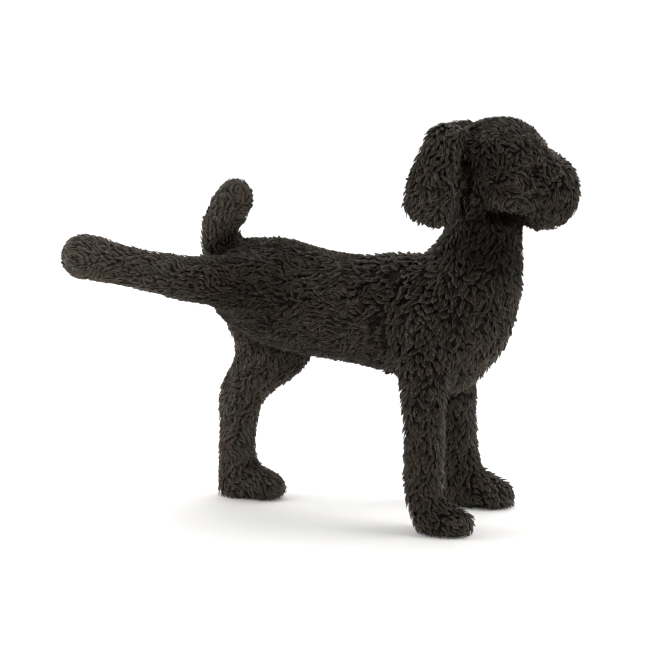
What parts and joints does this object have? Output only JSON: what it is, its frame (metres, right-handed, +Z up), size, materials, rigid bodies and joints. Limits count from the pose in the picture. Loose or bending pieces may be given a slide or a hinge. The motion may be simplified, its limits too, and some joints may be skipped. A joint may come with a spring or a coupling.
{
  "type": "dog statue",
  "caption": "Matt black resin statue of a shaggy dog that stands with one hind leg held straight out behind, its coat carved in pressed leaf-shaped tufts.",
  "frame": {"origin": "midway between the statue's four sides, in the plane of its three soles", "axes": "+Z up; +X the way the dog looks; +Y its left side, so the raised right hind leg reaches towards -X and -Y"},
  "size_m": [0.515, 0.2158, 0.4208],
  "materials": {
    "resin": "cast polyresin, matt near-black with a slight warm cast"
  },
  "bodies": {
    "root": {"dog_statue": "resin"}
  },
  "joints": []
}
